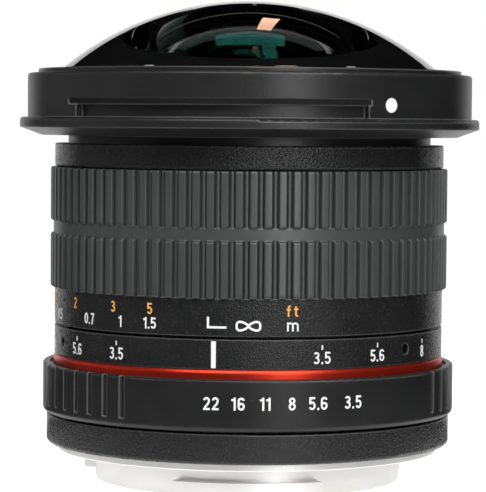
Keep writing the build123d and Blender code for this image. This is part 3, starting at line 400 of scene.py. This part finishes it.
def grid_faces(rows, columns, rows_closed, columns_closed):
    """Four-cornered faces of a grid of points, row after row. A closed direction joins end to start."""
    index = np.arange(rows * columns).reshape(rows, columns)
    if rows_closed:
        index = np.concatenate([index, index[:1]])
    if columns_closed:
        index = np.concatenate([index, index[:, :1]], axis=1)
    quads = np.stack([index[:-1, :-1], index[:-1, 1:], index[1:, 1:], index[1:, :-1]], axis=-1)
    return quads.reshape(-1)


def on_ring(radius, angle, height):
    """Points at (radius sin angle, -radius cos angle, height)."""
    radius, angle, height = np.broadcast_arrays(radius, angle, height)
    return np.stack([radius * np.sin(angle), -radius * np.cos(angle), height], axis=-1)


def turned_shape(radii, heights, steps):
    """A profile carried round the axis: (r sin a, -r cos a, z) for each profile point and each angle a.

    The profile starts and ends on the axis, so both its ends become one point with a fan of triangles."""
    angle = np.linspace(0, 2 * math.pi, steps, endpoint=False)
    middle = on_ring(radii[1:-1, None], angle[None, :], heights[1:-1, None])
    rows = len(radii) - 2
    poles = np.array([[0, 0, heights[0]], [0, 0, heights[-1]]])
    points = np.concatenate([middle.reshape(-1, 3), poles])
    quads = grid_faces(rows, steps, False, True)
    ring = np.arange(steps)
    after = np.roll(ring, -1)
    last = (rows - 1) * steps
    top = np.stack([np.full(steps, rows * steps), after, ring], axis=-1).reshape(-1)
    bottom = np.stack([np.full(steps, rows * steps + 1), last + ring, last + after], axis=-1).reshape(-1)
    corners = np.concatenate([quads, top, bottom])
    sizes = np.concatenate([np.full(len(quads) // 4, 4), np.full(2 * steps, 3)])
    return points, corners, sizes


def put_mesh(name, shape):
    """A mesh from points, the corners of its faces and the number of corners of each."""
    points, corners, sizes = shape
    corners = outward(points, corners, sizes)
    mesh = bpy.data.meshes.new(name)
    mesh.vertices.add(len(points))
    mesh.vertices.foreach_set("co", points.astype(np.float32).ravel())
    mesh.loops.add(len(corners))
    mesh.loops.foreach_set("vertex_index", corners.astype(np.int32))
    mesh.polygons.add(len(sizes))
    mesh.polygons.foreach_set("loop_start", face_starts(sizes).astype(np.int32))
    mesh.update(calc_edges=True)
    if mesh.validate():
        raise RuntimeError(f"the mesh of {name} was not sound")
    return mesh


def put_object(name, data):
    """A new object of a mesh, lamp or camera, put into the scene."""
    made = bpy.data.objects.new(name, data)
    bpy.context.scene.collection.objects.link(made)
    return made


def put_piece(name, shape, material, body, sharp=40.0):
    """A finished piece that rides on its CAD body, smooth but for edges of more than sharp degrees.

    The material goes by its name."""
    mesh = put_mesh(name, shape)
    mesh.polygons.foreach_set("use_smooth", np.ones(len(mesh.polygons), bool))
    mesh.set_sharp_from_angle(angle=math.radians(sharp))
    mesh.materials.append(bpy.data.materials[material])
    piece = put_object(name, mesh)
    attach(piece, body)
    return piece


def band(path, width, thickness, closed):
    """A flat band carried along a line: half its width to each side of the line, its thickness outwards."""
    ahead = np.roll(path, -1, 0) - np.roll(path, 1, 0)
    if not closed:
        ahead[0], ahead[-1] = path[1] - path[0], path[-1] - path[-2]
    ahead = ahead / np.linalg.norm(ahead, axis=1, keepdims=True)
    side = np.stack([-ahead[:, 1], ahead[:, 0]], 1) * width / 2
    count = len(path)
    low, high = np.zeros((count, 1)), np.full((count, 1), thickness)
    rims = [(path - side, low), (path - side, high), (path + side, high), (path + side, low)]
    points = np.stack([np.hstack([flat, out]) for flat, out in rims], 1).reshape(-1, 3)
    corners = grid_faces(count, 4, closed, True)
    sizes = np.full(len(corners) // 4, 4)
    if not closed:
        last = (count - 1) * 4
        corners = np.concatenate([corners, [3, 2, 1, 0], [last, last + 1, last + 2, last + 3]])
        sizes = np.concatenate([sizes, [4, 4]])
    return points, outward(points, corners, sizes), sizes


def line(*points):
    """A stroke of straight runs through the points."""
    return np.array(points, float), False


def arc(across, up, wide, high, start, end):
    """A stroke on an ellipse: (across + wide cos a, up + high sin a), a from start to end in degrees."""
    angle = np.radians(np.linspace(start, end, 2 + int(abs(end - start) / 12)))
    path = np.stack([across + wide * np.cos(angle), up + high * np.sin(angle)], 1)
    whole = abs(end - start) >= 360
    return (path[:-1] if whole else path), whole


def run(*strokes):
    """Strokes that follow each other as one."""
    return np.concatenate([path for path, _ in strokes]), False


# Each glyph stands on 0 and is 1 high at most: its width, then the middle lines of its strokes
GLYPHS = {
    "0": (0.56, [arc(0.28, 0.5, 0.195, 0.415, 0, 360)]),
    "1": (0.36, [line((0.27, 0), (0.27, 1)), line((0.02, 0.78), (0.2, 0.83), (0.3, 0.93))]),
    "2": (0.56, [
        run(arc(0.28, 0.715, 0.185, 0.2, 170, -15), line((0.4, 0.5), (0.13, 0.17))),
        line((0.02, 0.085), (0.53, 0.085)),
    ]),
    "3": (0.56, [
        arc(0.26, 0.735, 0.175, 0.18, 155, -90), arc(0.26, 0.3, 0.195, 0.215, 90, -155),
        line((0.18, 0.53), (0.3, 0.53)),
    ]),
    "5": (0.56, [
        line((0.09, 0.915), (0.5, 0.915)), line((0.125, 1.0), (0.11, 0.46)),
        arc(0.27, 0.335, 0.195, 0.25, 142, -155),
    ]),
    "6": (0.56, [
        arc(0.285, 0.305, 0.195, 0.22, 0, 360),
        run(arc(0.285, 0.72, 0.195, 0.195, 15, 180), line((0.09, 0.3))),
    ]),
    "7": (0.52, [line((0.02, 0.915), (0.5, 0.915)), line((0.44, 0.93), (0.3, 0.5), (0.2, 0))]),
    "8": (0.56, [arc(0.28, 0.735, 0.17, 0.18, 0, 360), arc(0.28, 0.3, 0.195, 0.215, 0, 360)]),
    ".": (0.16, [line((0.08, 0), (0.08, 0.17))]),
    "f": (0.4, [run(arc(0.34, 0.8, 0.14, 0.12, 70, 180), line((0.2, 0))), line((0.03, 0.62), (0.4, 0.62))]),
    "t": (0.4, [
        run(line((0.2, 0.92)), arc(0.34, 0.2, 0.14, 0.12, 180, 290)), line((0.03, 0.66), (0.4, 0.66)),
    ]),
    "m": (1.06, [
        line((0.09, 0), (0.09, 0.78)), run(arc(0.31, 0.52, 0.22, 0.18, 180, 0), line((0.53, 0))),
        run(arc(0.75, 0.52, 0.22, 0.18, 180, 0), line((0.97, 0))),
    ]),
    " ": (0.1, []),
}


def words_shape(words, height, stroke, gap, thickness):
    """Glyphs side by side as flat bands, the middle of the foot at 0: points (across, up, out)."""
    widths = np.array([GLYPHS[glyph][0] for glyph in words])
    starts = np.concatenate([[0], np.cumsum(widths + gap)[:-1]])
    whole = widths.sum() + gap * (len(words) - 1)
    return joined([
        band((path + [start - whole / 2, 0]) * height, stroke * height, thickness, closed)
        for glyph, start in zip(words, starts)
        for path, closed in GLYPHS[glyph][1]
    ])


def wrapped(shape, radius, angle, foot):
    """A flat shape laid on a cylinder: the turn grows by across / radius, and out adds to the radius."""
    points, corners, sizes = shape
    across, up, out = points.T
    return on_ring(radius + out, angle + across / radius, foot + up), corners, sizes


def smooth_step(value):
    """0 below 0, 1 above 1 and 3 v^2 - 2 v^3 between."""
    value = np.clip(value, 0, 1)
    return value * value * (3 - 2 * value)


# The rings of the barrel whose paint is grained and pitted
GRAINED = ("upper_barrel", "focus_ring", "index_ring", "base_ring")


class LENS_OT_finishes(bpy.types.Operator):
    """Gives every CAD node the finish of its real material"""

    bl_idname = "lens.finishes"
    bl_label = "Finishes"

    def execute(self, context):
        tints = context.scene.lens_colours
        made = {
            "black_metal": satin_black("barrel_black", tints.black, 0.37),
            "grained_black": satin_black("grained_black", tints.black, 0.26, 0.12 * MM, 1.6, 0.03),
            "inner_black": inner_matte("inner_matte_black", tints.inner),
            "grip_rubber": grip_rubber("moulded_rubber", tints.rubber, tints.groove_shade),
            "red_trim": anodised("red_anodised", tints.red),
            "white_paint": number_paint("number_white", tints.white),
            "orange_paint": number_paint("number_orange", tints.orange),
            "mount_metal": turned_metal("plated_metal", tints.silver, 0.38),
            "screw_steel": turned_metal("turned_steel", tints.steel, 0.3),
            "black_steel": turned_metal("dark_steel", pale(tints.inner, 0.03), 0.42),
            "blade_steel": turned_metal("blackened_blade", pale(tints.inner, 0.06), 0.38),
            "black_plastic": inner_matte("matte_plastic", pale(tints.inner, 0.012), 0.5),
            "front_glass": coated_glass("dome_coating", tints.coating, tints.front_glass, 0.12),
            "hollow_glass": coated_glass("hollow_coating", tints.inner_coating, tints.front_glass, 0.03),
            "coated_glass": coated_glass("lens_coating", tints.inner_coating, tints.inner_glass, 0.4),
            "edge_paint": inner_matte("edge_black", tints.inner, 0.8),
        }
        slots = {
            part["node"]: part["slot"]
            for part in frame["record"]["subparts"]
            if "node" in part and "slot" in part
        }
        for name, node in frame["nodes"].items():
            slot = slots.get(name) or node.data.materials[0].name.split(".")[0]
            if name in GRAINED:
                slot = "grained_black"
            if slot not in made:
                raise RuntimeError(f"{name} has no finish for {slot}")
            node.data.materials.clear()
            node.data.materials.append(made[slot])
        return {"FINISHED"}


class LENS_OT_rubber_grip(bpy.types.Operator):
    """Moulds the rubber grip: two rows of ribs with rounded tops and a plain band between them"""

    bl_idname = "lens.rubber_grip"
    bl_label = "Rubber grip"

    def execute(self, context):
        sizes = context.scene.lens_sizes
        wall_depth, crown_drop = 1.4 * MM, 0.02 * MM
        crease_width, crease_depth = 0.2 * MM, 0.22 * MM
        rounding, rounding_depth = 0.2 * MM, 0.175 * MM
        first_turn = math.radians(1.34)
        low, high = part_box("rubber_grip")
        radius = max(high.x, high.y)
        floor = radius - sizes.rib_stand
        half = sizes.rib_width / 2
        pitch = 2 * math.pi * radius / sizes.rib_count
        edge = sizes.rib_edge
        stations = np.array([0.0, 0.45, 0.8, 0.93]) * (half - edge / 2)
        flank = half + edge * np.array([-0.4, -0.15, 0.15, 0.45, 0.9])
        right = np.concatenate([stations, flank])
        across = np.concatenate([-right[:0:-1], right, [pitch / 2]])
        rise = smooth_step((half + edge / 2 - np.abs(across)) / edge)
        crown = crown_drop * (across / half) ** 2
        crease = smooth_step(1 - np.abs(np.abs(across) - half - crease_width / 2) / crease_width)
        start = first_turn + np.arange(sizes.rib_count) * 2 * math.pi / sizes.rib_count
        angle = (start[:, None] + across[None, :] / radius).ravel()
        rise, crown, crease = (np.tile(row, sizes.rib_count) for row in (rise, crown, crease))
        end = sizes.rib_end
        near = np.array([-0.25, 0.0, 0.25, 0.5, 0.75, 1.0, 1.4])
        from_rim = np.array([0.0, 0.08, 0.2, 0.5]) * MM
        clear = 2 * MM
        heights = np.concatenate([
            low.z + from_rim,
            np.linspace(low.z + clear, sizes.plain_low - clear, 4),
            sizes.plain_low - end * near[::-1],
            sizes.plain_high + end * near,
            np.linspace(sizes.plain_high + clear, high.z - clear, 4),
            high.z - from_rim[::-1],
        ])
        ribbed = smooth_step((sizes.plain_low - heights) / end)
        ribbed += smooth_step((heights - sizes.plain_high) / end)
        rims = smooth_step(1 - (heights - low.z) / rounding) + smooth_step(1 - (high.z - heights) / rounding)
        moat = crease_depth * crease[None, :] * ribbed[:, None]
        middle = (floor + sizes.plain_stand * (1 - smooth_step(ribbed * 4)))[:, None] - moat
        stand = (sizes.rib_stand - crown)[None, :] * rise[None, :] * ribbed[:, None]
        outer = middle + stand - rims[:, None] * rounding_depth
        outer = np.concatenate([outer, np.full((2, len(angle)), radius - wall_depth)])
        levels = np.concatenate([heights, [high.z, low.z]])
        points = on_ring(outer, angle[None, :], levels[:, None])
        corners = grid_faces(len(levels), len(angle), True, True)
        shape = (points.reshape(-1, 3), corners, np.full(len(corners) // 4, 4))
        piece = put_piece("grip_sleeve", shape, "moulded_rubber", "focus_ring", 55.0)
        # painted shade: a point attribute, 1 in the grooves beside the ribs of both rows, that darkens the
        # rubber's colour there
        dark = np.concatenate([crease[None, :] * (ribbed[:, None] > 0.3), np.zeros((2, len(angle)))])
        groove_shade = piece.data.attributes.new("groove_shade", "FLOAT", "POINT")
        groove_shade.data.foreach_set("value", dark.astype(np.float32).ravel())
        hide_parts("rubber_grip")
        return {"FINISHED"}


# Turns in degrees of the numbers and marks round the lens
INDEX_TURN = -9.5
APERTURES = (("22", INDEX_TURN), ("16", -2.45), ("11", 4.6), ("8", 11.65), ("5.6", 18.7), ("3.5", 28.8))
FEET = (("5", -28.45), ("3", -41.3), ("2", -59.35), ("1.5", -78.7), ("1", -118.4))
METRES = (("1.5", -28.45), ("1", -38.6), ("0.7", -51.65), ("0.5", -71.85), ("0.3", -120.4))
FEET_UNIT, METRE_UNIT = (("f t", 12.2),), (("m", 12.4),)
ENDLESS_TURN, CORNER_TURN = 0.1, -11.1
DEPTHS = (("8", 69.6), ("5.6", 48.7), ("3.5", 30.5))


class LENS_OT_scales(bpy.types.Operator):
    """Paints the aperture numbers, the two rows of distances and the depth of field numbers"""

    bl_idname = "lens.scales"
    bl_label = "Scales"

    def row(self, marks, radius, foot, height, stroke=0.155, gap=0.12):
        """Words laid round the lens, each at its own turn in degrees."""
        paint = bpy.context.scene.lens_sizes.paint
        return [
            wrapped(words_shape(words, height, stroke, gap, paint), radius, math.radians(angle), foot)
            for words, angle in marks
        ]

    def mark(self, path, width, radius, angle, foot, closed=False):
        """One painted line, laid round the lens at its turn in degrees."""
        paint = bpy.context.scene.lens_sizes.paint
        return wrapped(band(path, width, paint, closed), radius, math.radians(angle), foot)

    def endless(self, width, height):
        """The sign for endless: (width cos a, height s), with s = sin 2a raised to 0.68, its sign kept."""
        angle = np.linspace(0, 2 * math.pi, 72, endpoint=False)
        swing = np.sin(2 * angle)
        swing = np.sign(swing) * np.abs(swing) ** 0.68
        return np.stack([width * np.cos(angle), height * swing], 1)

    def execute(self, context):
        sizes = context.scene.lens_sizes
        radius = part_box("aperture_ring")[1].x
        row = self.row(APERTURES, radius, sizes.aperture_number_foot, sizes.aperture_number)
        put_piece("aperture_numbers", joined(row), "number_white", "aperture_ring")

        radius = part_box("focus_ring")[1].x
        row = self.row(FEET, radius, sizes.feet_foot, sizes.focus_number)
        row += self.row(FEET_UNIT, radius, sizes.feet_foot, sizes.focus_number, 0.15, 0.08)
        put_piece("feet_numbers", joined(row), "number_orange", "focus_ring")

        row = self.row(METRES, radius, sizes.metre_foot, sizes.focus_number, 0.15)
        row += self.row(METRE_UNIT, radius, sizes.metre_foot, sizes.focus_number, 0.14)
        endless = self.endless(sizes.endless_width, sizes.endless_height)
        foot = sizes.metre_foot + 0.8 * MM
        row.append(self.mark(endless, sizes.mark_line, radius, ENDLESS_TURN, foot, True))
        upright = np.array([[0, 0], [0, 1.75]]) * MM
        level = np.stack([np.linspace(-0.16, 2.85, 7), np.full(7, 0.16)], 1) * MM
        foot = sizes.metre_foot + 0.4 * MM
        row += [self.mark(path, sizes.mark_line, radius, CORNER_TURN, foot) for path in (upright, level)]
        put_piece("metre_numbers", joined(row), "number_white", "focus_ring")

        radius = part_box("index_ring")[1].x
        marks = [(words, INDEX_TURN + side * angle) for side in (-1, 1) for words, angle in DEPTHS]
        row = self.row(marks, radius, sizes.depth_foot, sizes.depth_number, 0.14)
        tick, tick_width = np.array([[0, 0], [0, 0.7]]) * MM, 0.22 * MM
        foot = sizes.depth_foot + sizes.depth_number + 0.3 * MM
        row += [self.mark(tick, tick_width, radius, angle, foot) for _, angle in marks]
        put_piece("depth_numbers", joined(row), "number_white", "barrel")
        return {"FINISHED"}


class LENS_OT_front_glass(bpy.types.Operator):
    """Grinds the large front glass: its dome, its ground edge and the hollow behind"""

    bl_idname = "lens.front_glass"
    bl_label = "Front glass"

    def execute(self, context):
        sizes = context.scene.lens_sizes
        ledge, rim_step, chamfer = 0.5 * MM, 0.74 * MM, 0.1 * MM
        mouth, hollow = 17.0 * MM, 19.0 * MM
        low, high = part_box("front_element")
        radius = max(high.x, high.y)
        rim = radius - ledge
        rise = high.z - sizes.glass_edge
        dome = (rim * rim + rise * rise) / (2 * rise)
        angle = np.linspace(0, math.asin(rim / dome), 60)
        dome_r, dome_z = dome * np.sin(angle), high.z - dome + dome * np.cos(angle)
        angle = np.linspace(math.asin(mouth / hollow), 0, 40)
        hollow_r = hollow * np.sin(angle)
        hollow_z = low.z + hollow * np.cos(angle) - hollow * math.cos(angle[0])
        step = sizes.glass_edge - rim_step
        radii = np.concatenate([dome_r, [rim, radius, radius, mouth + chamfer], hollow_r])
        heights = np.concatenate([dome_z, [step, step, low.z, low.z], hollow_z])
        radii[0] = radii[-1] = 0
        shape = turned_shape(radii, heights, 256)
        piece = put_piece("dome_glass", shape, "dome_coating", "barrel", 30.0)
        for name in ("edge_black", "hollow_coating"):
            piece.data.materials.append(bpy.data.materials[name])
        centres = np.empty(len(piece.data.polygons) * 3, np.float32)
        piece.data.polygons.foreach_get("center", centres)
        across, along, up = centres.reshape(-1, 3).T
        reach = np.hypot(across, along)
        ground = (reach > rim) | ((up < low.z + chamfer) & (reach > mouth))
        cupped = (reach < mouth) & (up < hollow_z.max() + chamfer)
        piece.data.polygons.foreach_set("material_index", np.where(cupped, 2, ground).astype(np.int32))
        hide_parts("front_element")
        return {"FINISHED"}


# The lamps: name, place, what it faces, width and height in metres, watts and colour
LENS_MIDDLE, DOME_MIDDLE = (0, 0, 0.04), (0, 0, 0.075)
WHITE, WARM = (1, 1, 1), (1.0, 0.62, 0.45)
LAMPS = (
    ("key_panel", (0.117, -0.313, 0.13), LENS_MIDDLE, 0.078, 0.3, 0.46, WHITE),
    ("left_panel", (-0.7, 0.06, 0.15), LENS_MIDDLE, 0.85, 0.5, 0.47, WHITE),
    ("top_strip", (0.0, -0.42, 0.5), LENS_MIDDLE, 0.8, 0.2, 3.5, WHITE),
    ("window", (0.028, 0.335, 0.45), DOME_MIDDLE, 0.026, 0.113, 0.06, WARM),
)


class LENS_OT_stage(bpy.types.Operator):
    """Sets the pale floor, the white surroundings, the black tent, the soft lamps and the camera"""

    bl_idname = "lens.stage"
    bl_label = "Photo stage"

    def sheet(self, name, shape, finish):
        """A surface of the stage in its finish."""
        mesh = put_mesh(name, shape)
        mesh.materials.append(finish.made)
        return put_object(name, mesh)

    def shown(self, finish):
        """1 for rays of the camera, of a reflection or through glass, and 0 for rays that only light."""
        seen = [
            finish.node("ShaderNodeLightPath", output=name)
            for name in ("Is Camera Ray", "Is Glossy Ray", "Is Transmission Ray")
        ]
        return seen[0].larger(seen[1]).larger(seen[2])

    def floor(self):
        """A pale disc just under the lens: points at (r sin a, -r cos a, drop) for each radius r and angle a.
        It is lit by the lamps and lifted towards white where it is seen."""
        rings, steps, drop, glow = 24, 96, -0.2 * MM, 0.72
        middle, reach = 0.02, 1.6
        finish = Finish("pale_floor")
        place = finish.place()
        tone = finish.blend(finish.noise(place, 40.0), (0.8, 0.8, 0.79, 1.0), (0.78, 0.78, 0.77, 1.0))
        matte = finish.node("ShaderNodeBsdfDiffuse", {}, {"Color": tone})
        strength = self.shown(finish) * glow
        lift = finish.node("ShaderNodeEmission", {}, {"Color": (1, 1, 1, 1), "Strength": strength})
        finish.out(finish.node("ShaderNodeAddShader", {}, {0: matte, 1: lift}))
        angle = np.linspace(0, 2 * math.pi, steps, endpoint=False)
        radius = np.linspace(middle, reach, rings)
        points = on_ring(radius[:, None], angle[None, :], drop)
        quads = grid_faces(rings, steps, False, True)
        corners = np.concatenate([quads, np.arange(steps)])
        sizes = np.concatenate([np.full(len(quads) // 4, 4), [steps]])
        floor = self.sheet("floor", (points.reshape(-1, 3), corners, sizes), finish)

    def surroundings(self, ambient):
        """White where the camera, a reflection or glass sees it, and a soft grey light elsewhere."""
        finish = Finish("white_room", world=True)
        strength = self.shown(finish) * (1 - ambient) + ambient
        room = finish.node("ShaderNodeBackground", {}, {"Color": (1, 1, 1, 1), "Strength": strength})
        bpy.context.scene.world = finish.out(room, "ShaderNodeOutputWorld")

    def dark_tent(self):
        """A black tent that only reflections and glass see, in place of most of the white surroundings: a
        cylinder's wall with a low opening behind the lens, a disc overhead, and a ring on the floor that
        leaves the pale floor round the lens."""
        wall, roof, sill, hem = 0.85, 0.72, 0.34, -1 * MM
        clear, drop, edge = 0.06, -0.1 * MM, 142
        finish = Finish("black_cloth")
        finish.out(finish.node("ShaderNodeBsdfDiffuse", {}, {"Color": (0.004, 0.004, 0.004, 1.0)}))
        front = np.radians(np.linspace(-edge, edge, 72))
        behind = np.radians(np.linspace(edge, 360 - edge, 20))
        around = np.linspace(0, 2 * math.pi, 72)
        sheets = {
            "tent_wall": on_ring(wall, front[None, :], np.linspace(hem, roof, 5)[:, None]),
            "tent_back": on_ring(wall, behind[None, :], np.linspace(sill, roof, 3)[:, None]),
            "tent_roof": on_ring(np.linspace(MM, wall, 6)[:, None], around[None, :], roof),
            "tent_floor": on_ring(np.linspace(clear, wall, 6)[:, None], front[None, :], drop),
        }
        for name, points in sheets.items():
            corners = grid_faces(*points.shape[:2], False, False)
            shape = (points.reshape(-1, 3), corners, np.full(len(corners) // 4, 4))
            sheet = self.sheet(name, shape, finish)
            sheet.visible_camera = sheet.visible_diffuse = sheet.visible_shadow = False

    def lamp(self, name, place, aim, wide, high, power, tint):
        """A soft rectangular lamp at place, facing aim."""
        light = bpy.data.lights.new(name, "AREA")
        light.shape = "RECTANGLE"
        light.size, light.size_y = wide, high
        light.energy = power
        light.color = tint
        away = (Vector(place) - Vector(aim)).to_track_quat("Z", "Y").to_matrix().to_4x4()
        put_object(name, light).matrix_world = Matrix.Translation(place) @ away

    def camera(self, stage):
        """The camera of the photograph: its distance, height, tilt and roll."""
        data = bpy.data.cameras.new("photo_camera")
        data.sensor_width = 36
        data.lens = stage.focal
        data.shift_x = stage.shift
        data.clip_start, data.clip_end = 0.01, 10
        camera = put_object("photo_camera", data)
        look = Matrix.Rotation(math.pi / 2 - stage.tilt, 4, "X") @ Matrix.Rotation(stage.roll, 4, "Z")
        camera.matrix_world = Matrix.Translation((0, -stage.distance, stage.height)) @ look
        return camera

    def execute(self, context):
        stage = context.scene.lens_stage
        self.floor()
        self.dark_tent()
        self.surroundings(stage.ambient)
        for lamp in LAMPS:
            self.lamp(*lamp)
        context.scene.camera = self.camera(stage)
        context.scene.view_settings.view_transform = "Standard"
        return {"FINISHED"}


class LENS_PT_panel(bpy.types.Panel):
    """The lens's sizes, colours and making steps"""

    bl_label = "Fisheye lens"
    bl_idname = "LENS_PT_panel"
    bl_space_type = "VIEW_3D"
    bl_region_type = "UI"
    bl_category = "Lens"

    def draw(self, context):
        for step in STEPS:
            self.layout.operator(step.bl_idname)
        for group in (context.scene.lens_sizes, context.scene.lens_colours, context.scene.lens_stage):
            box = self.layout.box()
            for name in group.__annotations__:
                box.prop(group, name)


STEPS = (LENS_OT_finishes, LENS_OT_rubber_grip, LENS_OT_scales, LENS_OT_front_glass, LENS_OT_stage)
GROUPS = (LensSizes, LensColours, StageSizes)


def register():
    for kind in GROUPS + STEPS + (LENS_PT_panel,):
        bpy.utils.register_class(kind)
    bpy.types.Scene.lens_sizes = PointerProperty(type=LensSizes)
    bpy.types.Scene.lens_colours = PointerProperty(type=LensColours)
    bpy.types.Scene.lens_stage = PointerProperty(type=StageSizes)


def unregister():
    del bpy.types.Scene.lens_stage
    del bpy.types.Scene.lens_colours
    del bpy.types.Scene.lens_sizes
    for kind in reversed(GROUPS + STEPS + (LENS_PT_panel,)):
        bpy.utils.unregister_class(kind)


def main():
    register()
    bpy.ops.lens.finishes()
    bpy.ops.lens.rubber_grip()
    bpy.ops.lens.scales()
    bpy.ops.lens.front_glass()
    bpy.ops.lens.stage()


if __name__ == "__main__":
    main()
